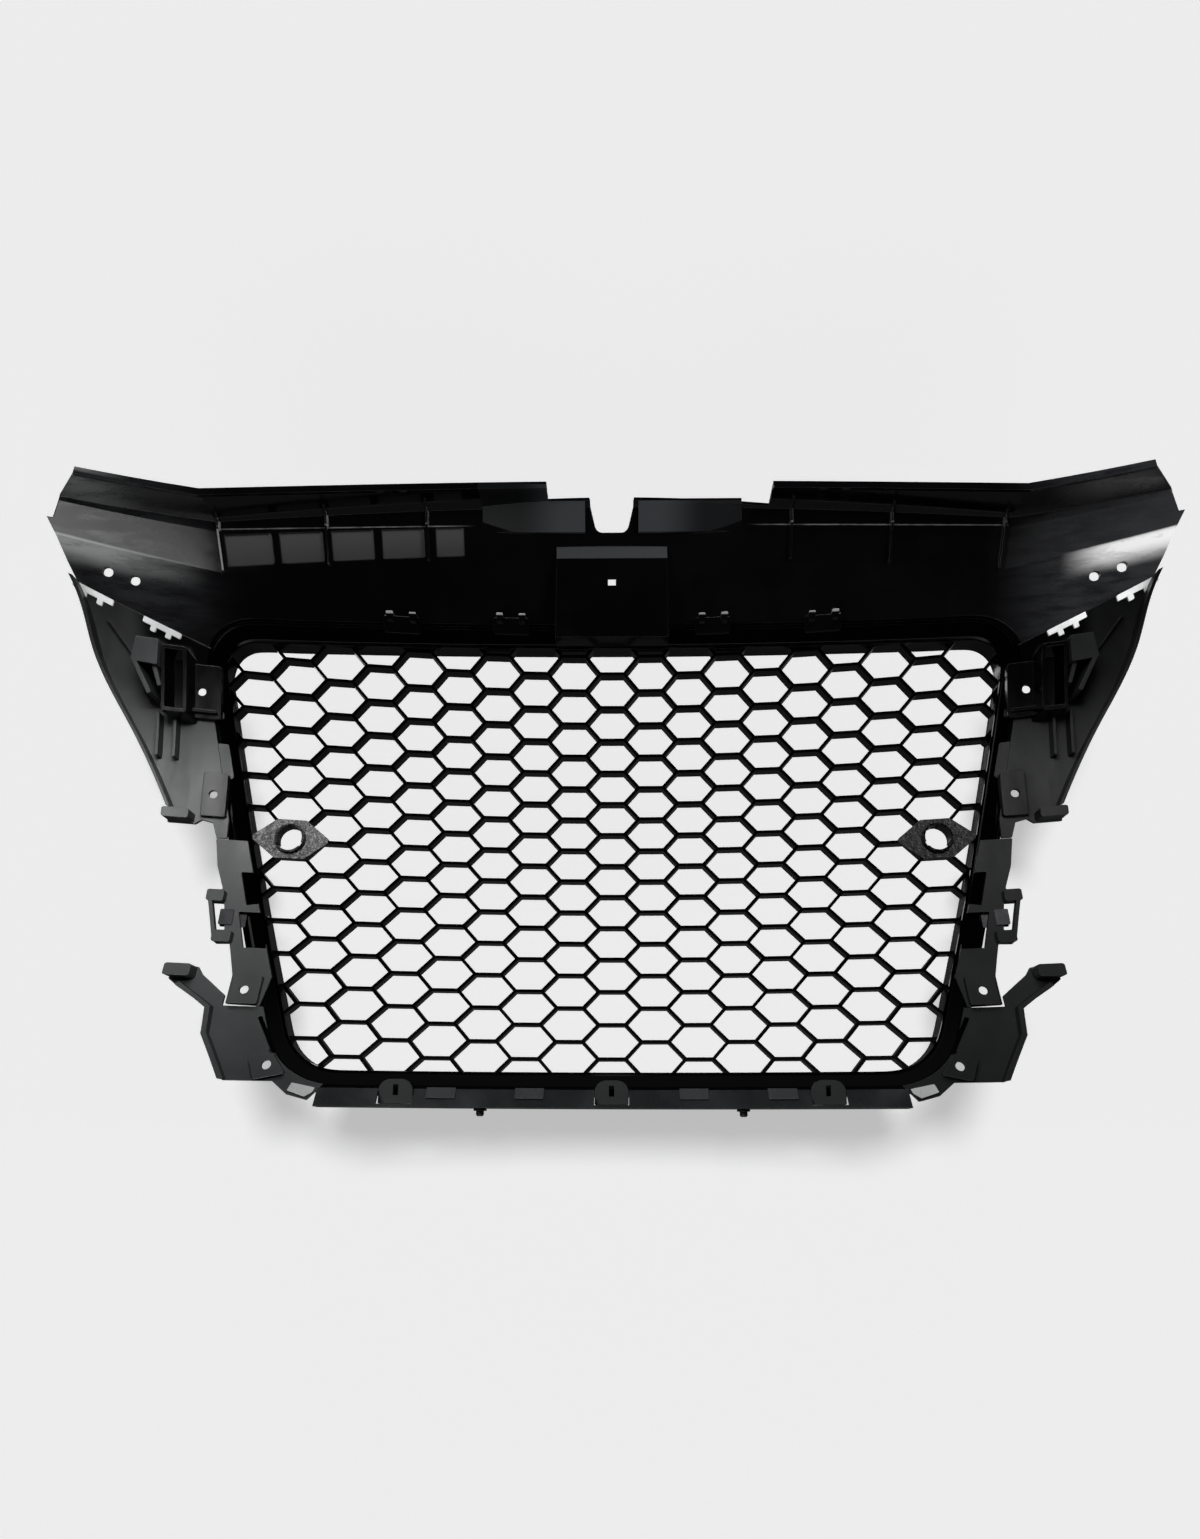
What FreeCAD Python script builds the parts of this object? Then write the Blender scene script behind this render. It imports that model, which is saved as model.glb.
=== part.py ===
"""Front grille with a domed honeycomb insert, as separate mouldings and clips. Units are mm.

Frame: +Z up, the face seen from in front of the vehicle looks along -Y, +X is vehicle left.
Shapes are drawn about the apex of the dome and moved at the end, so that the origin is the
centre of the bounding box of the whole grille. "Depth" is the distance behind the dome.
"""
import FreeCAD, Part
import math
import os

V = FreeCAD.Vector
os.makedirs("parts", exist_ok=True)

# ---------------------------------------------------------------- dome of the grille face
R_ACROSS = 1213.0          # radius in plan, about a vertical axis behind the grille
R_UP = 383.0               # radius in the side view
APEX_Z = 8.5               # height of the most forward point of the dome
SPAN_DEG = 26.0            # half angle covered in plan
RISE_DEG = 40.0            # half angle covered in the side view
REACH_FRONT = -120.0       # prisms run from here ...
REACH_REAR = 420.0         # ... to here along Y

# ---------------------------------------------------------------- opening of the ring
OPEN_TOP_Z = 178.5         # at the middle of the top edge
OPEN_TOP_END = (341.0, 165.5)
OPEN_SIDE_MID = (311.0, -2.0)
OPEN_LOW_END = (244.0, -198.5)
OPEN_R_TOP = 26.0
OPEN_R_LOW = 50.0
SECTION_STEP = 28.0        # spacing of ring sections along the long sides
CORNER_SECTIONS = 7
CORNER_FLATS = 3           # flats that stand for one rounded corner of the ring section

# ---------------------------------------------------------------- honeycomb
CELL_PITCH_X = 70.0        # two cells in the same row
CELL_PITCH_Z = 28.8        # two cells in the same column
CELL_WIDTH = 48.0          # point to point, on wall centre lines
CELL_FLAT = 22.0           # flat top of a cell, on wall centre lines
CELL_WALL = 2.7
MESH_DEPTH = 12.0
MESH_RIM = 2.5
CELL_COLUMNS = 10          # each side of the middle column
CELL_ROWS = 14             # half rows above and below the middle row
SENSOR_COLUMN = 8          # the holders sit this many half pitches from the middle
SENSOR_R = 11.0
SENSOR_REACH = 20.0        # the bore clears this far in front of and behind the mesh
SOCKET_WALL = 1.8
HOLDER_HALF = (31.0, 17.5, 12.0)
HOLDER_REAR = 4.0
KEYWAY = 2.0               # half width of the three keyways
KEYWAY_TURNS = (0, 120, 240)

# ---------------------------------------------------------------- ring, as (outward, depth)
BEZEL = ((0, -12.8), (0, -19), (19, -19), (19, 3), (16.5, 3), (16.5, -16), (3, -16), (3, -12.8))
BEZEL_R = (0, 2.5, 7, 0, 0, 4, 1, 0)
CARRIER = ((0, 0.3), (0, 6), (16, 6), (16, -9), (13.5, -9), (13.5, 3.5), (2.5, 3.5), (2.5, 0.3))
CARRIER_R = (0, 3, 4.5, 0, 0, 2, 0.5, 0)
BEZEL_WIDTH = 19.0
TAB_X = (-164.0, 0.0, 164.0)
TAB_LOW_Z = -224.0
TAB_TOP_Z = -206.0
TAB_HALF = 13.0
TAB_THICK = 5.0
TAB_BEHIND = 9.0           # front face of the tab, behind the dome
TAB_RADII = (1.0, 1.0, 9.0, 9.0)
TAB_SLOT = 4.0
TAB_ROOT_Z = (-211.5, -207.5)

# ---------------------------------------------------------------- upper panel
PANEL_SKIN = 3.0
PANEL_LOW_Z = 150.0
PANEL_REF_Z = 199.0        # the wall stands PANEL_REF_Y behind the apex at this height
PANEL_REF_Y = 48.0
PANEL_LEAN = 0.376         # rearward run per unit of height
PANEL_BREAK_X = 340.0      # the arch ends and the flat end facets begin
PANEL_END_X = 480.0
PANEL_TOP_Z = 298.0
PANEL_BREAK_Z = 258.0
PANEL_END_Z = 257.0
LEDGE_MID_Z = 256.0
LEDGE_BREAK_Z = 222.0
LEDGE_END_Z = 233.0
LEDGE_MID_RISE = 24.0
LEDGE_BREAK_RISE = 27.0
LEDGE_END_RISE = 20.0
LEDGE_MID_STEP = 6.0
LEDGE_END_STEP = 13.0
FLANGE_REAR = 129.0        # rear edge of the top flange, measured at the middle
FLANGE_LIP = 6.0
PANEL_END = ((461.0, 330.0), (461.0, 262.0), (470.0, 245.0), (465.5, 232.0), (457.0, 211.0),
             (448.0, 191.5), (348.0, 154.0), (300.0, 136.0))
FLANGE_TIP = ((428.0, 215.0), (467.0, 167.0), (520.0, 167.0), (520.0, 240.0), (428.0, 240.0))
PIN_HOLES = ((428.0, 208.0), (408.0, 204.5))
PIN_HOLE_R = 4.0
FLANGE_CUT = (-140.0, 57.0)
FLANGE_CUT_Y = 104.0
NOTCH_TOP_HALF = 22.0
NOTCH_LOW_HALF = 14.0
NOTCH_LOW_Z = 274.0
NOTCH_R = 7.0
NOTCH_STEP_Z = 306.0
ABOVE_ALL = 330.0
GUSSET_X = (24.0, 116.0)
GUSSET = ((84.0, 272.0), (87.0, 272.0), (104.0, 296.0), (104.0, 300.0))
WINDOW = (7.0, 228.0, 244.0)    # half width, low and high edge of the hole behind the box
RIB_X = (-335.0, -245.0, -160.0, 165.0, 251.0, 338.0)
RECESS_X = ((297, 335), (255, 291), (212, 248), (168, 205), (133, 158))
RECESS_DEEP = 0.7

# ---------------------------------------------------------------- cover behind the panel, as (y, z)
BOX_HALF = 50.0
BOX_SKIN = 2.5
BOX_OUTSIDE = ((57.0, 174.0), (76.0, 174.0), (79.0, 262.0), (73.5, 270.5), (72.5, 262.0))
BOX_INSIDE = ((50.0, 176.5), (73.5, 176.5), (76.4, 261.0), (70.0, 262.0))
BOX_CLEAR = ((40.0, 150.0), (50.5, 190.0), (75.6, 262.0), (80.0, 280.0), (40.0, 290.0))
BOX_HOLE = 7.0
BOX_HOLE_Z = 227.5

# ---------------------------------------------------------------- brackets behind the ring
NEAR = 8.0                 # front face of the brackets, as depth behind the dome
SKIN = 3.0
WING_LAP = 14.0            # the wing reaches over the ring to this distance from the opening
STRIP_LAP = 2.0
CORNER_LAP = 12.0
SCREW_R = 3.5
RELIEF_R = 6.5             # wider bore in front of each screw wall
SCREW_WALL = 3.0
GAP = 0.3
HOLE_BRACKET = (354.0, 118.0)
HOLE_WING = (341.5, 31.5)
HOLE_STRIP = (292.5, -136.5)
HOLE_CORNER = (262.0, -196.5)
PAD_BRACKET = 17.3         # depth of the rear face of each screw pad
PAD_WING = 16.0
PAD_STRIP = 17.0
PAD_CORNER = 16.0
FOOT = NEAR + 1.0          # ribs and pads start inside the skin, at this depth
WING_EDGE = ((448.0, 193.0), (441.0, 173.0), (434.0, 141.0), (404.0, 78.0), (380.0, 30.0), (374.0, 17.0))
WING_INSIDE = ((376.0, 15.0), (376.0, 6.0), (355.0, 6.0), (350.0, 10.0), (341.0, 8.0), (337.0, -5.0),
               (329.0, -5.0), (329.0, 12.0), (300.0, 12.0), (300.0, 140.0), (345.0, 155.0))
WING_PAD = ((331.0, 12.5), (350.0, 12.5), (350.0, 50.5), (331.0, 50.5))
WING_TAB = ((355.5, 6.5), (376.0, 6.5), (376.0, 15.0), (355.5, 15.0))
WING_BRACE = ((424.0, 166.0), (426.0, 167.0), (402.0, 134.0), (400.0, 133.0))
WING_FINGERS = (((328.0, 48.0), (342.0, 48.0), (346.0, 78.0), (334.0, 78.0)),
                ((338.0, 99.0), (349.0, 99.0), (350.0, 106.0), (339.0, 106.0)))
WING_RIB_X = (373.0, 386.0)
RIB_HALF = 1.1
RIB_REAR = NEAR + 13.0
BRACE_REAR = NEAR + 8.0
TAB_REAR = NEAR + 18.0
LIP_REAR = NEAR + 16.0
HOOK_REAR = 31.0           # height of the lamp hook behind its foot
HOOK_HEAD = ((378.5, 147.0), (395.0, 147.0), (399.5, 128.0), (380.0, 127.0))
HOOK_HOLLOW = ((381.0, 144.5), (393.0, 144.5), (397.0, 126.0), (382.5, 125.0))
HOOK_LEG = ((399.5, 130.0), (387.0, 103.0), (384.0, 104.5), (396.0, 130.0))
HOOK_TONGUE = ((380.5, 146.0), (383.0, 146.0), (385.5, 127.0), (381.5, 112.0),
               (378.6, 113.0), (382.5, 127.5))
STRIP_PAD = ((281.0, -148.0), (302.0, -148.0), (302.0, -124.5), (281.0, -124.5))
STRIP_FINGERS = (((322.0, -62.0), (335.0, -62.0), (335.0, -52.0), (322.0, -52.0)),
                 ((311.0, -97.0), (325.0, -97.0), (325.0, -87.0), (311.0, -87.0)))
STRIP_BAR = ((331.5, -56.0), (334.5, -56.0), (325.0, -93.0), (322.0, -93.0))
FINGER_REAR = NEAR + 11.0
STRIP = ((337.0, -6.0), (333.0, -30.0), (326.0, -50.0), (336.0, -51.5), (334.0, -62.5), (323.0, -62.5),
         (319.0, -85.5), (326.0, -86.5), (324.0, -97.5), (313.0, -97.0), (305.5, -124.0), (305.5, -148.0),
         (280.0, -149.0), (276.0, -124.0), (250.0, -124.0), (285.0, -6.0))
STRIP_WINDOWS = (((314.0, -34.0), (306.0, -63.0), (294.5, -61.0), (303.0, -34.0)),
                 ((311.0, -69.0), (302.5, -100.0), (284.5, -100.0), (293.0, -69.0)))
CORNER = ((351.0, -118.0), (332.0, -118.0), (328.0, -124.0), (307.5, -141.0), (307.5, -149.5),
          (262.0, -149.5), (240.0, -190.0), (215.0, -205.0), (228.0, -222.5), (243.0, -218.5),
          (256.0, -208.5), (291.0, -208.5), (314.0, -172.0), (317.0, -152.0), (326.0, -146.0),
          (342.0, -136.0), (351.0, -129.0))
CORNER_SLIT = ((279.5, -158.0), (276.0, -157.0), (258.5, -187.0), (262.0, -187.0))
CORNER_TAB = ((332.0, -128.0), (351.0, -128.0), (351.0, -118.0), (332.0, -118.0))
CORNER_LIP = ((314.0, -173.0), (292.0, -208.0), (288.0, -208.0), (310.0, -173.0))
CORNER_ARM = ((342.0, -135.0), (326.0, -145.5), (316.5, -152.5), (313.5, -174.0), (310.0, -174.0),
              (313.0, -151.0), (324.0, -143.0), (340.0, -132.0))
CORNER_PAD = ((247.0, -203.0), (263.0, -183.0), (276.0, -191.0), (268.0, -208.0))
CORNER_CLIP = ((223.5, -213.0), (241.0, -209.5), (243.0, -215.5), (229.5, -220.0), (224.5, -216.5))
RAIL_HALF = 222.0
RAIL_LOW_Z = -227.0
RAIL_TOP_Z = -213.0
SHELF_SKIN = 2.5
SHELF_FRONT = -4.0         # front edge of the rail's shelf, as depth
PEG_R = 3.0
PEG_LENGTH = 3.0
PEG_X = (-100.0, 100.0)

# ---------------------------------------------------------------- clips and snap hooks
CLIP_SHEET = 0.9
SEAM_CLIP_SHEET = 1.5
SEAM_CLIPS = ((434.0, 189.0), (384.0, 170.5))
SEAM_SLOPE_DEG = 20.4
HOOK_FOOT_DEPTH = 6.4
SNAP_HOOK_X = (-188.0, -91.0, 91.0, 188.0)
RAIL_CLIP_X = (-130.0, -63.0, 63.0, 130.0)
RAIL_CLIP_HALF = 11.0


# ================================================================ shared helpers
def polygon(points, make):
    corners = [make(a, b) for a, b in points]
    return Part.Face(Part.makePolygon(corners + corners[:1]))


def face_xz(points):
    return polygon(points, lambda x, z: V(x, 0, z))


def prism(face, front=REACH_FRONT, rear=REACH_REAR):
    """Face in the XZ plane, extruded along Y."""
    placed = face.copy()
    placed.translate(V(0, front, 0))
    return placed.extrude(V(0, rear - front, 0))


def prism_xz(points, front=REACH_FRONT, rear=REACH_REAR):
    return prism(face_xz(points), front, rear)


def prism_yz(points, x0, x1):
    return polygon(points, lambda y, z: V(x0, y, z)).extrude(V(x1 - x0, 0, 0))


def prism_xy(points, z0, z1):
    return polygon(points, lambda x, y: V(x, y, z0)).extrude(V(0, 0, z1 - z0))


def block(x0, x1, y0, y1, z0, z1):
    return Part.makeBox(x1 - x0, y1 - y0, z1 - z0, V(x0, y0, z0))


def rod(radius, x, z, y0, y1):
    """Cylinder along Y."""
    return Part.makeCylinder(radius, y1 - y0, V(x, y0, z), V(0, 1, 0))


def rounded_wire(points, radii, make):
    """Closed wire through corners, each corner rounded by the radius of the same index."""
    corners = []
    for i, (here_xy, radius) in enumerate(zip(points, radii)):
        here = V(here_xy[0], here_xy[1], 0)
        back = V(points[i - 1][0], points[i - 1][1], 0) - here
        following = points[(i + 1) % len(points)]
        ahead = V(following[0], following[1], 0) - here
        half = back.getAngle(ahead) / 2
        back.normalize()
        ahead.normalize()
        run = radius / math.tan(half)
        inward = back + ahead
        if radius:
            inward.normalize()
        middle = here + inward * (radius / math.sin(half) - radius)
        corners.append((here + back * run, middle, here + ahead * run, radius))
    edges = []
    for i, (start, middle, stop, radius) in enumerate(corners):
        following = corners[(i + 1) % len(corners)][0]
        if radius:
            edges.append(Part.Arc(make(start), make(middle), make(stop)).toShape())
        edges.append(Part.makeLine(make(stop), make(following)))
    return Part.Wire(edges)


def plate_xz(points, radius):
    """Rounded polygon in the XZ plane, as a face."""
    return Part.Face(rounded_wire(points, [radius] * len(points), lambda p: V(p.x, 0, p.y)))


def mirrored(shape):
    return shape.mirror(V(0, 0, 0), V(1, 0, 0))


def merged(*shapes):
    """One solid from touching shapes, without the inner seams."""
    return shapes[0].fuse(list(shapes[1:])).removeSplitter()


def group(shapes):
    return Part.makeCompound(shapes)


def dome_y(x, z, depth=0.0):
    """Y of the surface that lies a depth behind the dome, at (x, z)."""
    from_axis = R_ACROSS - R_UP - depth + math.sqrt(R_UP ** 2 - (z - APEX_Z) ** 2)
    return R_ACROSS - math.sqrt(from_axis ** 2 - x ** 2)


def swept_y(x, middle_y):
    """Y at x of a surface that follows the plan radius and lies at middle_y in the middle."""
    return R_ACROSS - math.sqrt((R_ACROSS - middle_y) ** 2 - x ** 2)


def dome_shell(front, rear):
    """Shell between two depths behind the dome."""
    rise = math.radians(RISE_DEG)
    chords = []
    for depth in (front, rear):
        centre = V(0, R_UP + depth, APEX_Z)
        chords.append([centre + V(0, -R_UP * math.cos(a), R_UP * math.sin(a)) for a in (-rise, 0.0, rise)])
    (low_f, mid_f, top_f), (low_r, mid_r, top_r) = chords
    edges = [
        Part.Arc(low_f, mid_f, top_f).toShape(),
        Part.makeLine(top_f, top_r),
        Part.Arc(top_r, mid_r, low_r).toShape(),
        Part.makeLine(low_r, low_f),
    ]
    band = Part.Face(Part.Wire(edges))
    axis = V(0, R_ACROSS, 0)
    band.rotate(axis, V(0, 0, 1), -SPAN_DEG)
    return band.revolve(axis, V(0, 0, 1), 2 * SPAN_DEG)


def opening_wire():
    """Rounded trapezoid of the opening, in the XZ plane."""
    top_x, top_z = OPEN_TOP_END
    low_x, low_z = OPEN_LOW_END
    mid_x, mid_z = OPEN_SIDE_MID
    top_left, top_right = V(top_x, 0, top_z), V(-top_x, 0, top_z)
    low_left, low_right = V(low_x, 0, low_z), V(-low_x, 0, low_z)
    edges = [
        Part.Arc(top_right, V(0, 0, OPEN_TOP_Z), top_left).toShape(),
        Part.Arc(top_left, V(mid_x, 0, mid_z), low_left).toShape(),
        Part.makeLine(low_left, low_right),
        Part.Arc(low_right, V(-mid_x, 0, mid_z), top_right).toShape(),
    ]
    corners = (top_left, low_left, low_right, top_right)
    radii = (OPEN_R_TOP, OPEN_R_LOW, OPEN_R_LOW, OPEN_R_TOP)
    plane = Part.Plane(V(0, 0, 0), V(0, 1, 0))
    rounds = []
    for i, (corner, radius) in enumerate(zip(corners, radii)):
        after = (i + 1) % len(edges)
        fillet = Part.ChFi2d.FilletAPI(edges[i], edges[after], plane)
        fillet.perform(radius)
        arc, edges[i], edges[after] = fillet.result(corner)
        rounds.append(arc)
    return Part.Wire(Part.sortEdges(edges + rounds)[0])


OPENING = opening_wire()


def opening_face(outward=0.0):
    """Face bounded by the opening, grown outward by a distance."""
    if outward == 0.0:
        return Part.Face(OPENING)
    return Part.Face(OPENING.makeOffset2D(outward))


def opening_prism(outward):
    return prism(opening_face(outward))


def outline_points():
    """Points round the opening with the outward direction at each, closer together in the corners."""
    half = opening_face().common(block(0, 500, -1, 1, -300, 300))
    edges = [e for e in half.Edges if abs(e.CenterOfMass.x) > 0.01]
    stations = []
    for edge in edges:
        count = CORNER_SECTIONS if edge.Length < 100 else int(edge.Length / SECTION_STEP) + 2
        first, last = edge.ParameterRange
        for i in range(count):
            at = first + (last - first) * i / (count - 1)
            tangent = edge.tangentAt(at)
            outward = tangent.cross(V(0, 1, 0))
            outward.normalize()
            point = edge.valueAt(at)
            if outward.dot(point) < 0:
                outward = outward * -1
            stations.append((point, outward))
    stations.sort(key=lambda s: math.atan2(s[0].x, s[0].z))
    unique = [stations[0]]
    for station in stations[1:]:
        if station[0].distanceToPoint(unique[-1][0]) > 0.5:
            unique.append(station)
    other = [(V(-p.x, 0, p.z), V(-o.x, 0, o.z)) for p, o in reversed(unique[1:-1])]
    return unique + other


def eased(points, radii):
    """Corner points with every rounded corner replaced by short flats along its arc."""
    result = []
    for i, (here_xy, radius) in enumerate(zip(points, radii)):
        here = V(here_xy[0], here_xy[1], 0)
        if radius == 0:
            result.append(here)
            continue
        following = points[(i + 1) % len(points)]
        back = (V(points[i - 1][0], points[i - 1][1], 0) - here).normalize()
        ahead = (V(following[0], following[1], 0) - here).normalize()
        half = back.getAngle(ahead) / 2
        centre = here + (back + ahead).normalize() * (radius / math.sin(half))
        start = here + back * (radius / math.tan(half)) - centre
        stop = here + ahead * (radius / math.tan(half)) - centre
        for step in range(CORNER_FLATS + 1):
            direction = start * (CORNER_FLATS - step) + stop * step
            result.append(centre + direction.normalize() * radius)
    return result


def ring_sweep(profile, radii):
    """Ring round the opening, from a section given as (outward, depth)."""
    corners = eased(profile, radii)
    sections = []
    for point, outward in outline_points():
        places = [point + outward * c.x for c in corners]
        section = [V(at.x, dome_y(at.x, at.z, c.y), at.z) for at, c in zip(places, corners)]
        sections.append(Part.makePolygon(section + section[:1]))
    return Part.makeLoft(sections, True, False, True)


def raised(points, front, rear, radius=2.0):
    """Rounded patch of the shell between two depths."""
    return dome_shell(front, rear).common(prism(plate_xz(points, radius)))


def box_points(x0, x1, z0, z1):
    return ((x0, z0), (x1, z0), (x1, z1), (x0, z1))


# ================================================================ honeycomb insert
def cell_face(column, row):
    """Open part of one cell."""
    x = column * CELL_PITCH_X / 2
    z = row * CELL_PITCH_Z / 2
    slope = math.atan2(CELL_PITCH_Z / 2, (CELL_WIDTH - CELL_FLAT) / 2)
    half_z = CELL_PITCH_Z / 2 - CELL_WALL / 2
    half_w = CELL_WIDTH / 2 - CELL_WALL / 2 / math.sin(slope)
    half_f = half_w - half_z / math.tan(slope)
    return face_xz([
        (x - half_w, z), (x - half_f, z - half_z), (x + half_f, z - half_z),
        (x + half_w, z), (x + half_f, z + half_z), (x - half_f, z + half_z),
    ])


def honeycomb_mesh():
    cells = []
    for column in range(-CELL_COLUMNS, CELL_COLUMNS + 1):
        for row in range(-CELL_ROWS, CELL_ROWS + 1):
            if (column + row) % 2 == 0:
                cells.append(cell_face(column, row))
    holes = group(cells).common(opening_face())
    plate = opening_face(MESH_RIM).cut(holes)
    return prism(plate).common(dome_shell(-MESH_DEPTH, 0.0))


def sensor_holder(column):
    """Diamond plate behind one cell, with a socket that passes through the cell."""
    x = column * CELL_PITCH_X / 2
    half_w, half_z, flat = HOLDER_HALF
    diamond = [(x - half_w, -2), (x - flat, -half_z), (x + flat, -half_z), (x + half_w, -2),
               (x + half_w, 2), (x + flat, half_z), (x - flat, half_z), (x - half_w, 2)]
    plate = raised(diamond, GAP, HOLDER_REAR, 1.5)
    y = dome_y(x, 0)
    front, rear = y - SENSOR_REACH, y + SENSOR_REACH
    socket = rod(SENSOR_R + SOCKET_WALL, x, 0, y - 5.0, y + 9.0)
    bore = rod(SENSOR_R, x, 0, front, rear)
    key = block(-KEYWAY, KEYWAY, front, rear, SENSOR_R - 1.0, SENSOR_R + 1.0)
    keyways = []
    for turn in KEYWAY_TURNS:
        slot = key.copy()
        slot.rotate(V(0, 0, 0), V(0, 1, 0), turn)
        slot.translate(V(x, 0, 0))
        keyways.append(slot)
    return merged(plate, socket).cut([bore] + keyways)


# ================================================================ ring
def arch_tab(x):
    """Tab with a round top and a vertical slot, standing behind the bottom of the ring."""
    half = TAB_HALF
    y = dome_y(x, -214.0) + TAB_BEHIND
    rear = y + TAB_THICK
    outline = ((x - half, TAB_LOW_Z), (x + half, TAB_LOW_Z), (x + half, TAB_TOP_Z), (x - half, TAB_TOP_Z))
    plate = prism(Part.Face(rounded_wire(outline, TAB_RADII, lambda p: V(p.x, 0, p.y))), y, rear)
    slot = block(x - TAB_SLOT / 2, x + TAB_SLOT / 2, y - 1, rear + 1, TAB_LOW_Z + 6.0, TAB_LOW_Z + 14.0)
    low_z, high_z = TAB_ROOT_Z
    root = block(x - half + 3, x + half - 3, dome_y(x, high_z, 5.0), y + 1.0, low_z, high_z)
    return merged(plate.cut(slot), root)


def bezel_ring():
    return ring_sweep(BEZEL, BEZEL_R)


def carrier_ring():
    tabs = [arch_tab(x) for x in TAB_X]
    return merged(ring_sweep(CARRIER, CARRIER_R), *tabs)


# ================================================================ upper panel
def thickened(points, skin):
    """Closed outline of an open line given as (y, z), with the skin on its right-hand side."""
    normals = []
    for (y0, z0), (y1, z1) in zip(points, points[1:]):
        length = math.hypot(y1 - y0, z1 - z0)
        normals.append(((z1 - z0) / length, -(y1 - y0) / length))
    inner = []
    for i, (y, z) in enumerate(points):
        before = normals[max(i - 1, 0)]
        after = normals[min(i, len(normals) - 1)]
        ny, nz = before[0] + after[0], before[1] + after[1]
        scale = skin / (ny * before[0] + nz * before[1])
        inner.append((y + ny * scale, z + nz * scale))
    return list(points) + inner[::-1]


def mix(a, b, t):
    return a + (b - a) * t


def panel_line(x):
    """Front and top surface of the panel at x, as (y at the middle, z)."""
    across = abs(x)
    arch = min(across / PANEL_BREAK_X, 1.0) ** 2
    out = max(across - PANEL_BREAK_X, 0.0) / (PANEL_END_X - PANEL_BREAK_X)
    if out > 0:
        top = mix(PANEL_BREAK_Z, PANEL_END_Z, out)
        low = mix(LEDGE_BREAK_Z, LEDGE_END_Z, out)
        rise = mix(LEDGE_BREAK_RISE, LEDGE_END_RISE, out)
    else:
        top = mix(PANEL_TOP_Z, PANEL_BREAK_Z, arch)
        low = mix(LEDGE_MID_Z, LEDGE_BREAK_Z, arch)
        rise = mix(LEDGE_MID_RISE, LEDGE_BREAK_RISE, arch)
    step = mix(LEDGE_MID_STEP, LEDGE_END_STEP, arch)

    def wall(z, back=0.0):
        return PANEL_REF_Y + PANEL_LEAN * (z - PANEL_REF_Z) + back, z

    return [wall(PANEL_LOW_Z), wall(low), wall(low + rise, step), wall(top, step),
            (FLANGE_REAR, top + 1.0), (FLANGE_REAR + 1.0, top - FLANGE_LIP)]


def panel_section(x, back=0.0):
    corners = [V(x, swept_y(x, y) + back, z) for y, z in thickened(panel_line(x), PANEL_SKIN)]
    return Part.makePolygon(corners + corners[:1])


def panel_shell(back=0.0):
    """Whole sheet of the panel: arched middle and one flat-topped zone at each end."""
    middle = Part.makeLoft([panel_section(PANEL_BREAK_X * i / 3, back) for i in range(-3, 4)], True, False)
    reach = (PANEL_END_X - PANEL_BREAK_X) / 3
    end = Part.makeLoft([panel_section(PANEL_BREAK_X + reach * i, back) for i in range(4)], True, False)
    return merged(middle, end, mirrored(end))


def panel_rib(x):
    line = panel_line(x)
    wall = line[1:4]
    front = [(swept_y(x, y) + PANEL_SKIN / 2, z) for y, z in wall]
    rear = [(swept_y(x, y) + PANEL_SKIN + 5.0, z - 2.0) for y, z in wall]
    return prism_yz(front + rear[::-1], x - 1.0, x + 1.0)


def latch_gusset(side):
    """Sloping plate between the flange and the wall, beside the latch notch."""
    x0, x1 = sorted(edge * side for edge in GUSSET_X)
    middle = (GUSSET_X[0] + GUSSET_X[1]) / 2
    return prism_yz([(swept_y(middle, y), z) for y, z in GUSSET], x0, x1)


def upper_panel():
    sheet = panel_shell()
    ribs = [panel_rib(x) for x in RIB_X]
    gussets = [latch_gusset(side) for side in (-1, 1)]
    body = merged(sheet, *ribs, *gussets)
    outline = ((0.0, 330.0),) + PANEL_END + ((0.0, 136.0),)
    keep = prism_xz(outline)
    body = body.common(merged(keep, mirrored(keep)))
    body = body.cut(opening_prism(BEZEL_WIDTH + GAP))
    tip = prism_xy(FLANGE_TIP, 240.0, 300.0)
    notch = [(NOTCH_LOW_HALF, NOTCH_LOW_Z), (NOTCH_TOP_HALF, NOTCH_STEP_Z), (NOTCH_TOP_HALF, ABOVE_ALL)]
    notch += [(-x, z) for x, z in reversed(notch)]
    cut_x0, cut_x1 = FLANGE_CUT
    window_half, window_low, window_high = WINDOW
    cuts = [
        tip, mirrored(tip),
        block(cut_x0, cut_x1, FLANGE_CUT_Y, 200, 285, 320),
        prism(plate_xz(notch, NOTCH_R)),
        block(-window_half, window_half, 40, 75, window_low, window_high),
    ]
    for x, z in PIN_HOLES:
        cuts += [rod(PIN_HOLE_R, x, z, 60, 220), rod(PIN_HOLE_R, -x, z, 60, 220)]
    pads = []
    for x0, x1 in RECESS_X:
        z0 = panel_line(x0)[1][1] + 2.0
        z1 = panel_line(x1)[1][1] + 2.0
        shape = ((x0, z0), (x1, z1), (x1, z1 + 21.0), (x0, z0 + 21.0))
        pads.append(prism(plate_xz(shape, 3.0)))
    cuts.append(panel_shell(PANEL_SKIN - RECESS_DEEP).common(group(pads)))
    return body.cut(cuts)


def centre_box():
    """Cover behind the middle of the panel, open to the front, with a square hole."""
    shell = prism_yz(BOX_OUTSIDE, -BOX_HALF, BOX_HALF)
    shell = shell.cut(prism_yz(BOX_INSIDE, -BOX_HALF + BOX_SKIN, BOX_HALF - BOX_SKIN))
    shell = shell.cut(prism_yz(BOX_CLEAR, -BOX_HALF - 10, BOX_HALF + 10))
    low_z = BOX_HOLE_Z - BOX_HOLE / 2
    return shell.cut(block(-BOX_HOLE / 2, BOX_HOLE / 2, 60, 90, low_z, low_z + BOX_HOLE))


# ================================================================ side wings
def spline(points):
    curve = Part.BSplineCurve()
    curve.interpolate([V(x, 0, z) for x, z in points])
    return curve.toShape()


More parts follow.
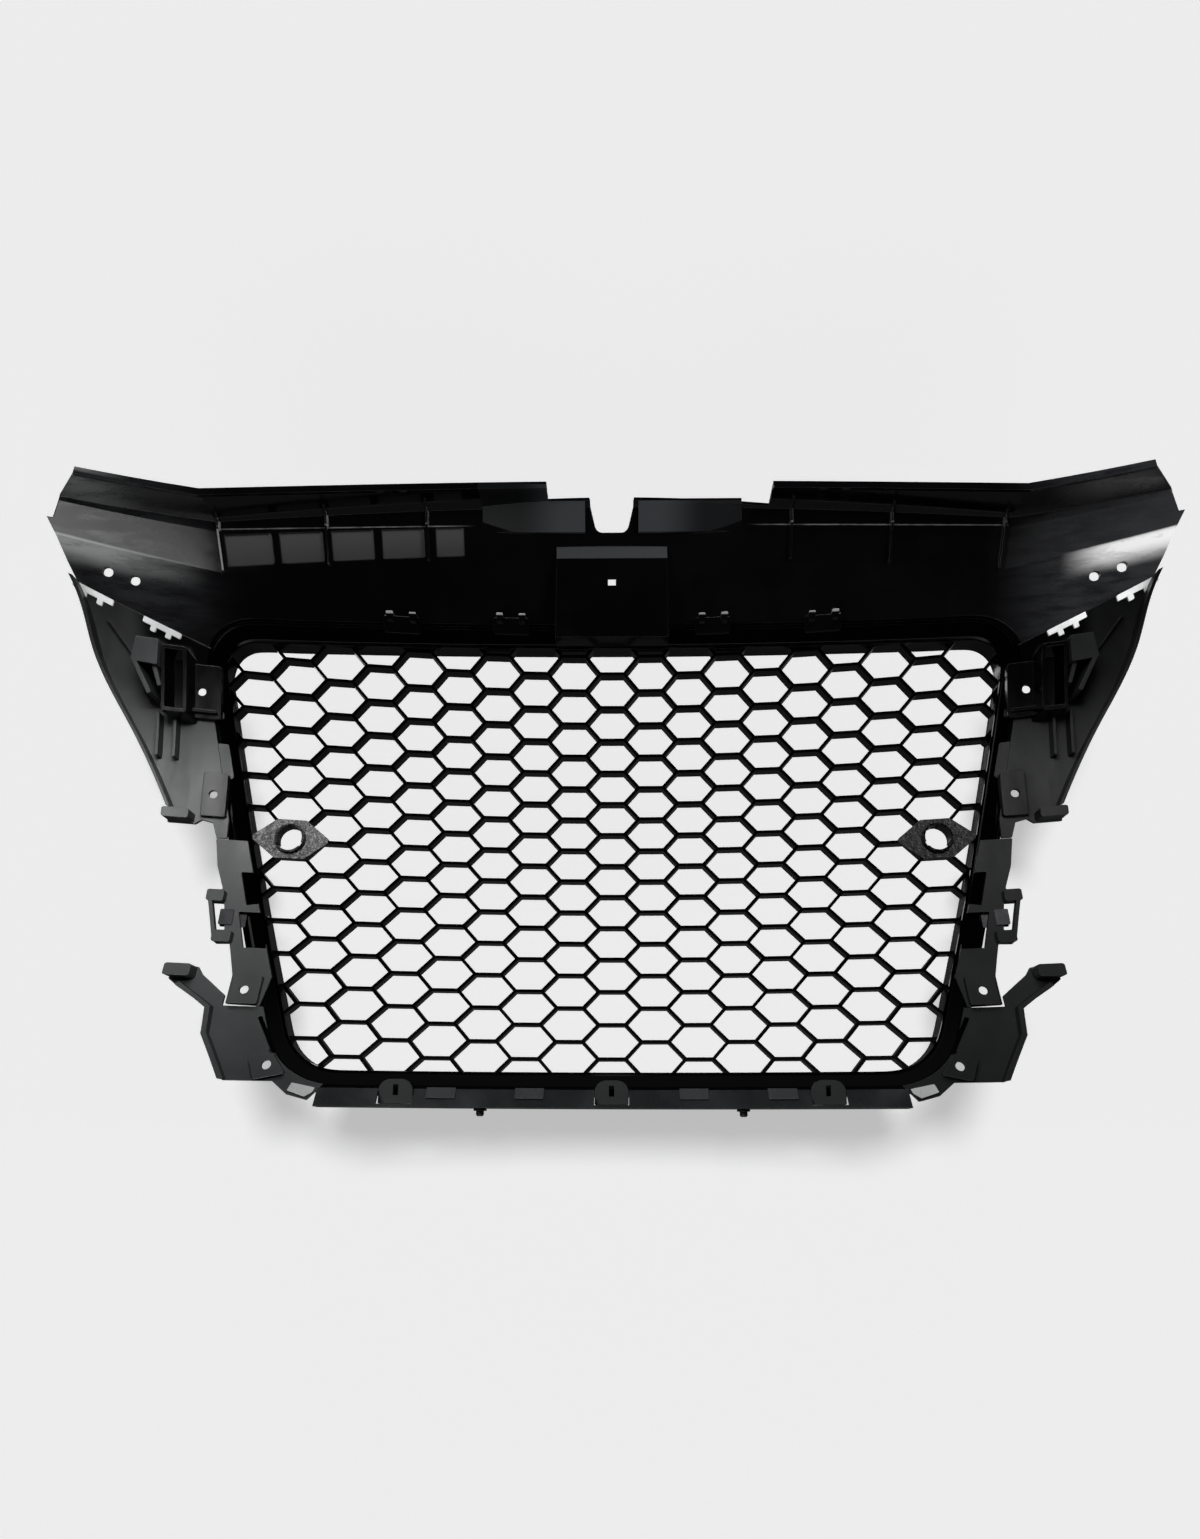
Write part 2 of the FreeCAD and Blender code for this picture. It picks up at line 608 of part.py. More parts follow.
def line(a, b):
    return Part.makeLine(V(a[0], 0, a[1]), V(b[0], 0, b[1]))


def screw_cuts(hole, rear):
    """Screw hole through a pad, and the wider relief that leaves a thin wall at the rear."""
    x, z = hole
    relief = dome_shell(-40.0, rear - SCREW_WALL).common(rod(RELIEF_R, x, z, -50, 300))
    return [rod(SCREW_R, x, z, -50, 300), relief]


def side_wing():
    """Wing beside the lamp, vehicle left: plate, return lip on the outer edge, ribs, pads."""
    corners = list(WING_INSIDE)
    edges = [spline(WING_EDGE), line(WING_EDGE[-1], corners[0])]
    edges += [line(a, b) for a, b in zip(corners, corners[1:])]
    edges.append(line(corners[-1], WING_EDGE[0]))
    outline = Part.Face(Part.Wire(edges))
    plate = dome_shell(NEAR, NEAR + SKIN).common(prism(outline))
    plate = plate.cut(opening_prism(WING_LAP))
    inner_edge = [(x - 3.0, z - 1.0) for x, z in WING_EDGE]
    rim = Part.Face(Part.Wire([spline(WING_EDGE), line(WING_EDGE[-1], inner_edge[-1]),
                               spline(inner_edge), line(inner_edge[0], WING_EDGE[0])]))
    lip = dome_shell(FOOT, LIP_REAR).common(prism(rim))
    pad = raised(WING_PAD, FOOT, PAD_WING, 1.5)
    ribs = [raised(box_points(x - RIB_HALF, x + RIB_HALF, 60.0, 96.0), FOOT, RIB_REAR, 0.4)
            for x in WING_RIB_X]
    brace = raised(WING_BRACE, FOOT, BRACE_REAR, 0.3)
    tab = raised(WING_TAB, FOOT, TAB_REAR)
    fingers = [raised(points, NEAR, NEAR + 2.0) for points in WING_FINGERS]
    wing = merged(plate, lip, pad, brace, tab, *ribs, *fingers)
    passage = rod(RELIEF_R, HOLE_BRACKET[0], HOLE_BRACKET[1], -50, 300)
    return wing.cut(screw_cuts(HOLE_WING, PAD_WING) + [passage])


def lamp_bracket():
    """Hollow tower with a screw pad on the wing, vehicle left."""
    base = NEAR + SKIN + GAP
    tower = raised(box_points(359.0, 378.0, 92.0, 145.0), base, base + 27.0, 2.0)
    hollow = raised(box_points(361.5, 375.5, 95.0, 142.0), base + 5.0, base + 40.0, 1.0)
    pad = raised(box_points(339.0, 365.0, 96.0, 140.0), base, PAD_BRACKET, 2.0)
    ledge = raised(box_points(341.0, 360.0, 99.0, 101.5), base, base + 12.0, 0.4)
    return merged(tower, pad, ledge).cut([hollow] + screw_cuts(HOLE_BRACKET, PAD_BRACKET))


def lamp_hook():
    """Hollow hook with a leg and an inner tongue beside the bracket, vehicle left."""
    base = NEAR + SKIN + GAP
    head = raised(HOOK_HEAD, base, base + HOOK_REAR, 1.0)
    hollow = raised(HOOK_HOLLOW, base - 1.0, base + HOOK_REAR - 2.5, 0.6)
    leg = raised(HOOK_LEG, base, base + HOOK_REAR, 0.6)
    tongue = raised(HOOK_TONGUE, base, base + HOOK_REAR - 6.0, 0.6)
    return merged(head.cut(hollow), leg, tongue)


# ================================================================ side strips and lower corners
def side_strip():
    plate = raised(STRIP, NEAR, NEAR + SKIN, 1.0).cut(opening_prism(STRIP_LAP))
    fingers = [raised(points, FOOT, FINGER_REAR) for points in STRIP_FINGERS]
    bar = raised(STRIP_BAR, NEAR + SKIN + 3.0, FINGER_REAR, 0.6)
    pad = raised(STRIP_PAD, FOOT, PAD_STRIP, 1.5)
    windows = [prism(plate_xz(points, 1.0)) for points in STRIP_WINDOWS]
    return merged(plate, pad, bar, *fingers).cut(windows + screw_cuts(HOLE_STRIP, PAD_STRIP))


def lower_corner():
    plate = raised(CORNER, NEAR, NEAR + SKIN, 1.0).cut(opening_prism(CORNER_LAP))
    tab = raised(CORNER_TAB, FOOT, TAB_REAR)
    lips = [raised(points, FOOT, NEAR + 12.0, 0.5) for points in (CORNER_LIP, CORNER_ARM)]
    pad = raised(CORNER_PAD, FOOT, PAD_CORNER, 1.5)
    slit = prism(plate_xz(CORNER_SLIT, 1.0))
    return merged(plate, tab, pad, *lips).cut(screw_cuts(HOLE_CORNER, PAD_CORNER) + [slit])


# ================================================================ rail under the ring
def bottom_rail():
    shelf_top = RAIL_LOW_Z + SHELF_SKIN
    upright = prism_xz(box_points(-RAIL_HALF, RAIL_HALF, RAIL_LOW_Z, RAIL_TOP_Z))
    flat = prism_xz(box_points(-RAIL_HALF, RAIL_HALF, RAIL_LOW_Z, shelf_top))
    wall = dome_shell(FOOT, FOOT + SKIN).common(upright)
    shelf = dome_shell(SHELF_FRONT, FOOT + 1.0).common(flat)
    cuts = [block(x - TAB_HALF - GAP, x + TAB_HALF + GAP, 0, 300, shelf_top, -200) for x in TAB_X]
    return merged(wall, shelf).cut(cuts)


# ================================================================ clips, hooks and pegs
def edge_clip():
    """Sheet metal clip over the edge of the strip, vehicle left."""
    x0, x1, z0, z1 = 305.0, 324.6, -82.0, -66.5
    front_depth = NEAR - CLIP_SHEET - GAP
    rear_depth = NEAR + SKIN + GAP
    front = raised(box_points(x0, x1, z0, z1), front_depth, front_depth + CLIP_SHEET, 1.0)
    rear = raised(box_points(x0 + 9.0, x1, z0 + 1.0, z1 - 1.0), rear_depth, rear_depth + CLIP_SHEET, 1.0)
    bend_outline = box_points(x1 - CLIP_SHEET, x1, z0 + 2.0, z1 - 2.0)
    bend = raised(bend_outline, front_depth, rear_depth + CLIP_SHEET, 0.2)
    return merged(front, rear, bend)


def corner_clip():
    """Bright plate on the foot of the lower corner, vehicle left."""
    rear_depth = NEAR + SKIN + GAP
    return raised(CORNER_CLIP, rear_depth, rear_depth + 1.5, 0.6)


def seam_clip(x, z):
    """Bright staple across the seam between panel and wing, vehicle left."""
    base = NEAR + SKIN + GAP
    slope = math.radians(SEAM_SLOPE_DEG)

    def along(points):
        return [(x + u * math.cos(slope) - v * math.sin(slope), z + u * math.sin(slope) + v * math.cos(slope))
                for u, v in points]

    rear = base + SEAM_CLIP_SHEET
    bar = raised(along(((-15, -6), (15, -6), (15, -1.5), (-15, -1.5))), base, rear, 0.8)
    outlines = [along(((u - 2, -10), (u + 2, -10), (u + 2, -4), (u - 2, -4))) for u in (-6, 6)]
    return merged(bar, *[raised(outline, base, rear, 0.8) for outline in outlines])


def open_top_z(x):
    """Height of the top edge of the opening at x."""
    end_x, end_z = OPEN_TOP_END
    return OPEN_TOP_Z - (OPEN_TOP_Z - end_z) * (x / end_x) ** 2


def snap_hook(x):
    """Pair of hooks on one foot, behind the top of the ring."""
    z = open_top_z(x)
    foot = raised(box_points(x - 16, x + 16, z + 9, z + 22), HOOK_FOOT_DEPTH, HOOK_FOOT_DEPTH + 2.0)
    barbs = [raised(box_points(x + a - 3, x + a + 3, z + 17, z + 24), HOOK_FOOT_DEPTH + 1.0, 13.0, 1.0)
             for a in (-10, 10)]
    return merged(foot, *barbs)


def rail_clip(x):
    """Spring clip over the top edge of the rail."""
    low_z = RAIL_TOP_Z - 7.0
    high_z = RAIL_TOP_Z + GAP + CLIP_SHEET
    depths = (FOOT - GAP - CLIP_SHEET, FOOT + SKIN + GAP)
    x0, x1 = x - RAIL_CLIP_HALF, x + RAIL_CLIP_HALF
    legs = [raised(box_points(x0, x1, low_z, high_z), d, d + CLIP_SHEET, 0.3) for d in depths]
    top = raised(box_points(x0, x1, high_z - CLIP_SHEET, high_z), depths[0], depths[1] + CLIP_SHEET, 0.2)
    return merged(*legs, top)


def locating_peg(x):
    """Round peg under the rail, with a flange."""
    y = dome_y(x, RAIL_LOW_Z, 4.0)
    top = RAIL_LOW_Z - GAP
    flange = Part.makeCylinder(PEG_R + 2.0, 1.5, V(x, y, top - 1.5))
    stem = Part.makeCylinder(PEG_R, PEG_LENGTH, V(x, y, top - 1.5 - PEG_LENGTH))
    tip = Part.makeCone(PEG_R - 1.0, PEG_R, 1.0, V(x, y, top - 2.5 - PEG_LENGTH))
    return merged(flange, stem, tip)


# ================================================================ assembly
def assembly():
    wing, bracket, hook = side_wing(), lamp_bracket(), lamp_hook()
    strip, corner = side_strip(), lower_corner()
    clip, foot_clip = edge_clip(), corner_clip()
    seams = [seam_clip(x, z) for x, z in SEAM_CLIPS]
    rail_clips = [rail_clip(x) for x in RAIL_CLIP_X]
    return {
        "honeycomb_mesh": honeycomb_mesh(),
        "bezel_ring": bezel_ring(),
        "carrier_ring": carrier_ring(),
        "upper_panel": upper_panel(),
        "centre_box": centre_box(),
        "side_wing_left": wing,
        "side_wing_right": mirrored(wing),
        "lamp_bracket_left": bracket,
        "lamp_bracket_right": mirrored(bracket),
        "lamp_hook_left": hook,
        "lamp_hook_right": mirrored(hook),
        "side_strip_left": strip,
        "side_strip_right": mirrored(strip),
        "lower_corner_left": corner,
        "lower_corner_right": mirrored(corner),
        "bottom_rail": bottom_rail(),
        "sensor_holder_left": sensor_holder(SENSOR_COLUMN),
        "sensor_holder_right": sensor_holder(-SENSOR_COLUMN),
        "edge_clips": group([clip, mirrored(clip)]),
        "seam_clips": group(seams + [mirrored(s) for s in seams]),
        "snap_hooks_top": group([snap_hook(x) for x in SNAP_HOOK_X]),
        "rail_clips": group(rail_clips + [foot_clip, mirrored(foot_clip)]),
        "locating_pegs": group([locating_peg(x) for x in PEG_X]),
    }


def solids_only(shape):
    """The bare solid of a one-piece node, or a compound of solids."""
    solids = shape.Solids
    return solids[0] if len(solids) == 1 else Part.makeCompound(solids)


parts = {node: solids_only(shape) for node, shape in assembly().items()}
whole = Part.makeCompound(list(parts.values())).optimalBoundingBox(True, False)
to_origin = V(0, 0, 0) - whole.Center
for node, shape in parts.items():
    shape.translate(to_origin)
    shape.exportStep("parts/" + node + ".step")
    print(node, len(shape.Solids), len(shape.Faces), shape.isValid(), round(shape.Volume))
print("moved by", to_origin, "size", whole.XLength, whole.YLength, whole.ZLength)
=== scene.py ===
import bpy
import math
from mathutils import Matrix, Vector


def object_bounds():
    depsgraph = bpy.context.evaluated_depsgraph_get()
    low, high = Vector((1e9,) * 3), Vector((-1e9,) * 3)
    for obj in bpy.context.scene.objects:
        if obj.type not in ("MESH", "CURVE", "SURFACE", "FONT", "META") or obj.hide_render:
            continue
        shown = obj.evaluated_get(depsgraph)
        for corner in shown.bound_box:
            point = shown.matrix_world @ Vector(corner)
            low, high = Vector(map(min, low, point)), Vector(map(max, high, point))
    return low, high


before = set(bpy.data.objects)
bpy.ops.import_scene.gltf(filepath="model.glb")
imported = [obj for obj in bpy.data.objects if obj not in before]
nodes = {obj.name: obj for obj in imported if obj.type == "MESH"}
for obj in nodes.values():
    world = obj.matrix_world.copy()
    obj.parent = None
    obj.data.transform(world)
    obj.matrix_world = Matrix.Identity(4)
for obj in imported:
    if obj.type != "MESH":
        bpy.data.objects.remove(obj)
cad_low, cad_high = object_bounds()
scene = bpy.context.scene
MM = 0.001

# ---------------------------------------------------------------- facts shared with the CAD
ORIGIN_Y = 103.0939          # mm, the row frame's origin in the drawing, which starts at the dome's apex
ORIGIN_Z = 33.6
PANEL_LEAN = 0.376           # rearward run of the panel per unit of height
PANEL_BOW = 0.43             # rearward run of the panel per square metre across
PANEL_BREAK = 0.340          # m, the arch ends and the flat end facets begin
RECESS_X = ((297, 335), (255, 291), (212, 248), (168, 205), (133, 158))    # mm, one side only


def place(x, y, z):
    """Point of the drawing, in mm, as a point of the row frame in metres."""
    return Vector((x * MM, (y - ORIGIN_Y) * MM, (z - ORIGIN_Z) * MM))


def level(z):
    """Height in the drawing, in mm, as a height in the row frame in metres."""
    return (z - ORIGIN_Z) * MM


def opaque(red, green, blue):
    return red, green, blue, 1.0


# ---------------------------------------------------------------- node trees
class Nodes:
    """Small helper that builds one node tree."""

    def __init__(self, tree):
        self.tree = tree
        self.tree.nodes.clear()

    def add(self, kind, settings=None, **inputs):
        """New node; an input is given by its name, or by its number as i0, i1 and so on."""
        node = self.tree.nodes.new(kind)
        for name, value in (settings or {}).items():
            setattr(node, name, value)
        for name, value in inputs.items():
            numbered = name[0] == "i" and name[1:].isdigit()
            self.put(node.inputs[int(name[1:]) if numbered else name.replace("_", " ")], value)
        return node

    def put(self, socket, value):
        """Link an output to the socket, or set the socket's own value."""
        if isinstance(value, bpy.types.NodeSocket):
            self.tree.links.new(value, socket)
        else:
            socket.default_value = value

    def math(self, operation, a, b=0.0, clamp=False):
        return self.add("ShaderNodeMath", {"operation": operation, "use_clamp": clamp}, i0=a, i1=b).outputs[0]

    def times(self, first, *others):
        for other in others:
            first = self.math("MULTIPLY", first, other)
        return first

    def minus(self, a, b):
        return self.math("SUBTRACT", a, b)

    def squared(self, value):
        return self.math("POWER", value, 2.0)

    def size(self, value):
        return self.math("ABSOLUTE", value)

    def ramp(self, value, low, high, out_low=0.0, out_high=1.0):
        """Smooth step from out_low, where value is low, to out_high, where it is high."""
        node = self.add("ShaderNodeMapRange", {"interpolation_type": "SMOOTHSTEP"}, Value=value, From_Min=low,
                        From_Max=high, To_Min=out_low, To_Max=out_high)
        return node.outputs["Result"]

    def noise(self, where, scale, detail=3.0, rough=0.5, distortion=0.0):
        node = self.add("ShaderNodeTexNoise", None, Vector=where, Scale=scale, Detail=detail, Roughness=rough,
                        Distortion=distortion)
        return node.outputs["Fac"]

    def blend(self, kind, share, a, b):
        node = self.add("ShaderNodeMix", {"data_type": kind})
        self.put(node.inputs["Factor"], share)
        self.put(node.inputs["A"], a)
        self.put(node.inputs["B"], b)
        return node.outputs["Result"]

    def mix(self, share, a, b):
        """Colour a where share is 0, colour b where it is 1."""
        return self.blend("RGBA", share, a, b)

    def between(self, share, a, b):
        """Number a where share is 0, number b where it is 1."""
        return self.blend("FLOAT", share, a, b)

    def axes(self, where):
        split = self.add("ShaderNodeSeparateXYZ", None, Vector=where)
        return split.outputs["X"], split.outputs["Y"], split.outputs["Z"]

    def scaled(self, where, scale):
        return self.add("ShaderNodeMapping", None, Vector=where, Scale=scale).outputs[0]

    def bevel(self, radius):
        return self.add("ShaderNodeBevel", {"samples": 4}, Radius=radius).outputs[0]

    def bump(self, strength, distance, height, normal):
        node = self.add("ShaderNodeBump", None, Strength=strength, Distance=distance, Height=height,
                        Normal=normal)
        return node.outputs[0]

    def surface(self, shader, kind="ShaderNodeOutputMaterial"):
        """Output node of the tree."""
        self.put(self.add(kind).inputs["Surface"], shader.outputs[0])


def new_material(name):
    material = bpy.data.materials.new(name)
    material.use_nodes = True
    return material, Nodes(material.node_tree)


# ---------------------------------------------------------------- materials
DUST = opaque(0.19, 0.185, 0.17)
DUST_ON_FACES = (0.2, 1.0, 0.25, 1.0)    # upward part of the normal, then how much dust lies there
DUST_SPECK = (0.16, 0.05)
DUST_ROUGH = 0.3             # added to the roughness where dust lies
WORN_EDGE = (0.995, 0.90)    # cosine between the rounded and the flat normal: sound edge, worn edge that also gets a painted highlight
WORN_ROUGH = 0.08            # added to the roughness of a worn edge
CLOUD = (9.0, 4.0, 0.55, 0.6)            # noise settings: scale, detail, roughness, distortion
FLOW = (46.0, 5.0, 0.6)
FLOW_STRETCH = (1.0, 1.0, 0.22)
PEEL = (210.0, 2.0, 0.5)
PEEL_HEIGHT = 0.0006         # m
GRAIN_HEIGHT = 0.0002
BRUSH = (2400.0, 3.0, 0.6)
BRUSH_STRETCH = (1.0, 1.0, 0.06)
BRUSH_HEIGHT = 0.0001
COATING = (120.0, 3.0, 0.6)
COATING_DARK = 0.72          # share of the tone that is left where the coating is darkest
SHEET_EDGE = 0.0003


def plastic(name, dark, light, rough, peel=0.04, grain=0.0, grain_scale=2600.0, edge=0.0006, wear_and_highlight_lift=0.02,
            dust=0.15, specular=0.5, extra=None):
    """Moulded plastic: tone drift, flow marks, roughness drift, peel or grain, worn rounded edges lightened
    as wear and painted highlight, dust.
    """
    material, n = new_material(name)
    where = n.add("ShaderNodeTexCoord").outputs["Object"]
    cloud = n.noise(where, *CLOUD)
    flow = n.noise(n.scaled(where, FLOW_STRETCH), *FLOW)
    cells = n.add("ShaderNodeTexVoronoi", {"feature": "F1"}, Vector=where, Scale=420.0, Randomness=1.0)
    specks = n.ramp(cells.outputs["Distance"], *DUST_SPECK)
    rounded = n.bevel(edge)
    flat = n.add("ShaderNodeNewGeometry").outputs["Normal"]
    facing = n.add("ShaderNodeVectorMath", {"operation": "DOT_PRODUCT"}, i0=rounded, i1=flat)
    worn_and_highlit_edge = n.ramp(facing.outputs["Value"], *WORN_EDGE)

    tone = n.mix(n.ramp(cloud, 0.35, 0.7), opaque(*dark), opaque(*light))
    # Worn edges are lightened; the lift is both wear and a painted edge highlight.
    worn_and_highlit_tone = opaque(*(min(1.0, channel + wear_and_highlight_lift) for channel in light))
    tone = n.mix(n.times(worn_and_highlit_edge, n.ramp(flow, 0.3, 0.7, 0.35, 1.0)), tone, worn_and_highlit_tone)
    upward_face = n.axes(flat)[2]
    settled = n.times(n.ramp(upward_face, *DUST_ON_FACES), specks, n.ramp(cloud, 0.45, 0.75, 0.1, 1.0))
    tone = n.mix(n.times(settled, dust), tone, DUST)

    gloss = n.between(n.ramp(flow, 0.3, 0.72), *rough)
    gloss = n.math("ADD", gloss, n.times(worn_and_highlit_edge, WORN_ROUGH))
    gloss = n.math("ADD", gloss, n.times(settled, DUST_ROUGH), True)
    if extra:
        tone, gloss = extra(n, where, flow, tone, gloss)

    normal = n.bump(peel, PEEL_HEIGHT, n.noise(where, *PEEL), rounded)
    if grain:
        normal = n.bump(grain, GRAIN_HEIGHT, n.noise(where, grain_scale, 2.0, 0.6), normal)
    n.surface(n.add("ShaderNodeBsdfPrincipled", None, Base_Color=tone, Roughness=gloss, Normal=normal,
                    IOR=1.5, Specular_IOR_Level=specular))
    return material


def metal(name, tone, rough, streak):
    """Phosphated spring steel: fine brushing, drift in the coating, darker scratches."""
    material, n = new_material(name)
    where = n.add("ShaderNodeTexCoord").outputs["Object"]
    brush = n.noise(n.scaled(where, BRUSH_STRETCH), *BRUSH)
    drift = n.noise(where, *COATING)
    darker = opaque(*(channel * COATING_DARK for channel in tone))
    colour = n.mix(n.ramp(drift, 0.3, 0.7), opaque(*tone), darker)
    gloss = n.between(n.ramp(brush, 0.3, 0.7), *rough)
    normal = n.bump(streak, BRUSH_HEIGHT, brush, n.bevel(SHEET_EDGE))
    n.surface(n.add("ShaderNodeBsdfPrincipled", None, Base_Color=colour, Roughness=gloss, Normal=normal,
                    Metallic=1.0))
    return material


# ---------------------------------------------------------------- zones of the panel
# A pair gives where a zone starts and where it is full, in metres of the row frame.
END_X = (0.318, 0.395)
END_TONE = opaque(0.013, 0.0135, 0.015)
END_ROUGH = 0.34
STREAKS = (60.0, 6.0, 0.65)
STREAK_STRETCH = (0.35, 1.0, 2.2)
GLARE_LINE = level(222.0)     # upper edge of the painted glare where the end facets begin ...
GLARE_RISE = 0.0786           # ... and its rise from there
GLARE_TOP = (-0.0005, 0.0010)
GLARE_FADE = (0.024, 0.006)
GLARE_LEFT = (0.345, 0.445)
GLARE_RIGHT = (-0.380, -0.425)
GLARE_LEFT_TONE = opaque(0.27, 0.275, 0.275)
GLARE_RIGHT_TONE = opaque(0.72, 0.72, 0.72)
BRIM_X = (0.385, 0.440)
BRIM_Z = (0.2195, 0.2225)
BRIM_HIGHLIGHT_TONE = opaque(0.20, 0.205, 0.205)
CREST_LINE = level(280.0)    # the wall meets the flange, at the middle ...
CREST_DROP = 0.031           # ... and how much lower at the break
CREST_HALF = (0.0007, 0.0003)
CREST_START = (0.120, 0.150)
CREST_END = (0.339, 0.337)
CREST_HIGHLIGHT_TONE = opaque(0.13, 0.13, 0.13)
LEDGE_LINE = level(258.0)    # lower edge of the recesses, at the middle ...
LEDGE_DROP = 0.034           # ... and how much lower at the break
RECESS_LOW = (0.0, 0.0012)
RECESS_HIGH = (0.0215, 0.0195)
RECESS_SIDE = 0.0004         # the satin reaches this far past the recess ...
RECESS_SOFT = 0.0012         # ... and fades in over this width
RECESS_FADE = (0.002, 0.019)
RECESS_TONES = (opaque(0.018, 0.018, 0.019), opaque(0.036, 0.036, 0.038))
RECESS_ROUGH = 0.5
GUSSET_FRONT = (-0.1072, -0.1066)
GUSSET_TOP = (0.2616, 0.2610)
GUSSET_LOW = (0.2376, 0.2384)
GUSSET_X = (0.1168, 0.1162)
GUSSET_FADE = (0.085, 0.040)
GUSSET_SHEEN_TONES = (opaque(0.003, 0.0034, 0.004), opaque(0.030, 0.033, 0.036))
GUSSET_ROUGH = 0.32


def panel_zones(n, where, flow, tone, gloss):
    """Rough streaky ends with painted glare under them, painted highlight lines along the crest and the brim,
    satin gussets with painted sheen, and the five satin recesses on one side.
    """
    x, y, z = n.axes(where)
    across = n.size(x)
    streaks = n.noise(n.scaled(where, STREAK_STRETCH), *STREAKS)
    ends = n.times(n.ramp(across, *END_X), n.ramp(streaks, 0.3, 0.62, 0.45, 1.0))
    gloss = n.between(ends, gloss, END_ROUGH)
    tone = n.mix(ends, tone, END_TONE)

    # Painted glare: pale patches under the end facets, grey on the left and near white on the right.
    outward = n.math("MAXIMUM", n.minus(across, PANEL_BREAK), 0.0)
    under = n.minus(n.math("ADD", GLARE_LINE, n.times(outward, GLARE_RISE)), z)
    glare = n.times(n.ramp(under, *GLARE_TOP), n.ramp(under, *GLARE_FADE))
    left = n.times(n.ramp(x, *GLARE_LEFT), n.ramp(streaks, 0.25, 0.6, 0.55, 1.0))
    right = n.times(n.ramp(x, *GLARE_RIGHT), n.ramp(streaks, 0.3, 0.5, 0.7, 1.0))
    tone = n.mix(n.times(glare, left), tone, GLARE_LEFT_TONE)
    tone = n.mix(n.times(glare, right), tone, GLARE_RIGHT_TONE)
    # Painted highlight: a thin pale line along the brim at the left end.
    brim_highlight = n.times(n.ramp(z, *BRIM_Z), n.ramp(x, *BRIM_X), n.ramp(streaks, 0.3, 0.6, 0.3, 1.0))
    tone = n.mix(brim_highlight, tone, BRIM_HIGHLIGHT_TONE)

    arch = n.squared(n.math("DIVIDE", across, PANEL_BREAK))
    # Painted highlight: a thin pale line where the wall meets the flange.
    offset = n.size(n.minus(z, n.minus(CREST_LINE, n.times(arch, CREST_DROP))))
    crest_highlight = n.times(n.ramp(offset, *CREST_HALF), n.ramp(across, *CREST_START), n.ramp(across, *CREST_END))
    tone = n.mix(n.times(crest_highlight, n.ramp(flow, 0.3, 0.6, 0.3, 1.0)), tone, CREST_HIGHLIGHT_TONE)

    proud = n.minus(n.minus(y, n.times(z, PANEL_LEAN)), n.times(n.squared(x), PANEL_BOW))
    gusset = n.times(n.ramp(proud, *GUSSET_FRONT), n.ramp(z, *GUSSET_TOP), n.ramp(z, *GUSSET_LOW),
                     n.ramp(across, *GUSSET_X))
    # Painted sheen: the gussets' lighter tone, lightest towards the middle; their roughness is satin.
    tone = n.mix(gusset, tone, n.mix(n.ramp(across, *GUSSET_FADE), *GUSSET_SHEEN_TONES))
    gloss = n.between(gusset, gloss, GUSSET_ROUGH)

    height = n.minus(z, n.minus(LEDGE_LINE, n.times(arch, LEDGE_DROP)))
    inside = n.times(n.ramp(height, *RECESS_LOW), n.ramp(height, *RECESS_HIGH))
    marks = 0.0
    for inner, outer in RECESS_X:
        low, high = inner * MM - RECESS_SIDE, outer * MM + RECESS_SIDE
        mark = n.times(n.ramp(x, low, low + RECESS_SOFT), n.ramp(x, high, high - RECESS_SOFT))
        marks = n.math("ADD", marks, mark)
    marks = n.math("MULTIPLY", marks, inside, True)
    tone = n.mix(marks, tone, n.mix(n.ramp(height, *RECESS_FADE), *RECESS_TONES))
    return tone, n.between(marks, gloss, RECESS_ROUGH)


# ---------------------------------------------------------------- zones of the other pieces
WING_CORNER_X = (0.410, 0.390)
WING_CORNER_Z = (0.060, 0.084)
WING_CORNER_SHADE_TONE = opaque(0.0016, 0.0016, 0.0018)
WING_CORNER_ROUGH = 0.12
WING_FADE_Z = (0.0, 0.150, 0.0, 0.85)
WING_TOP_SHADE_TONE = opaque(0.004, 0.0042, 0.0045)
WING_PAD_X = (0.3502, 0.3496)
WING_PAD_TOP = (0.0172, 0.0166)
WING_PAD_LOW = (-0.0214, -0.0208)
WING_PAD_TONE = opaque(0.009, 0.0095, 0.0095)


def wing_zones(n, where, flow, tone, gloss):
    """Wing with painted shade darkening it upward, a dark screw pad, and painted black shade in the corner
    beside the lamp bracket.
    """
    x, y, z = n.axes(where)
    across = n.size(x)
    corner = n.times(n.ramp(across, *WING_CORNER_X), n.ramp(z, *WING_CORNER_Z))
    pad = n.times(n.ramp(across, *WING_PAD_X), n.ramp(z, *WING_PAD_TOP), n.ramp(z, *WING_PAD_LOW))
    # Painted shade: the wing darkens towards its top.
    tone = n.mix(n.ramp(z, *WING_FADE_Z), tone, WING_TOP_SHADE_TONE)
    tone = n.mix(pad, tone, WING_PAD_TONE)
    # Painted shade: the corner beside the lamp bracket is made nearly black.
    tone = n.mix(corner, tone, WING_CORNER_SHADE_TONE)
    return tone, n.between(corner, gloss, WING_CORNER_ROUGH)


SEAM_DROP = 0.112            # drop of the ring's top edge per square metre across
TIP_Z = (level(200.5), level(201.3))
GLINT_TONE = opaque(0.62, 0.62, 0.60)
TIP_ROUGH = 0.3


def hook_zones(n, where, flow, tone, gloss):
    """Painted highlight: pale glints on the tips of the snap hooks."""
    x, y, z = n.axes(where)
    # Painted highlight: pale glints where the hook tops stand.
    glints = n.ramp(n.math("ADD", z, n.times(n.squared(x), SEAM_DROP)), *TIP_Z)
    return n.mix(glints, tone, GLINT_TONE), n.between(glints, gloss, TIP_ROUGH)


PIT_TONE = opaque(0.006, 0.006, 0.0065)
SPECK_TONE = opaque(0.34, 0.34, 0.34)
CAST = (300.0, 5.0, 0.75, 0.8)
CAST_ROUGH = (0.2, 0.55)


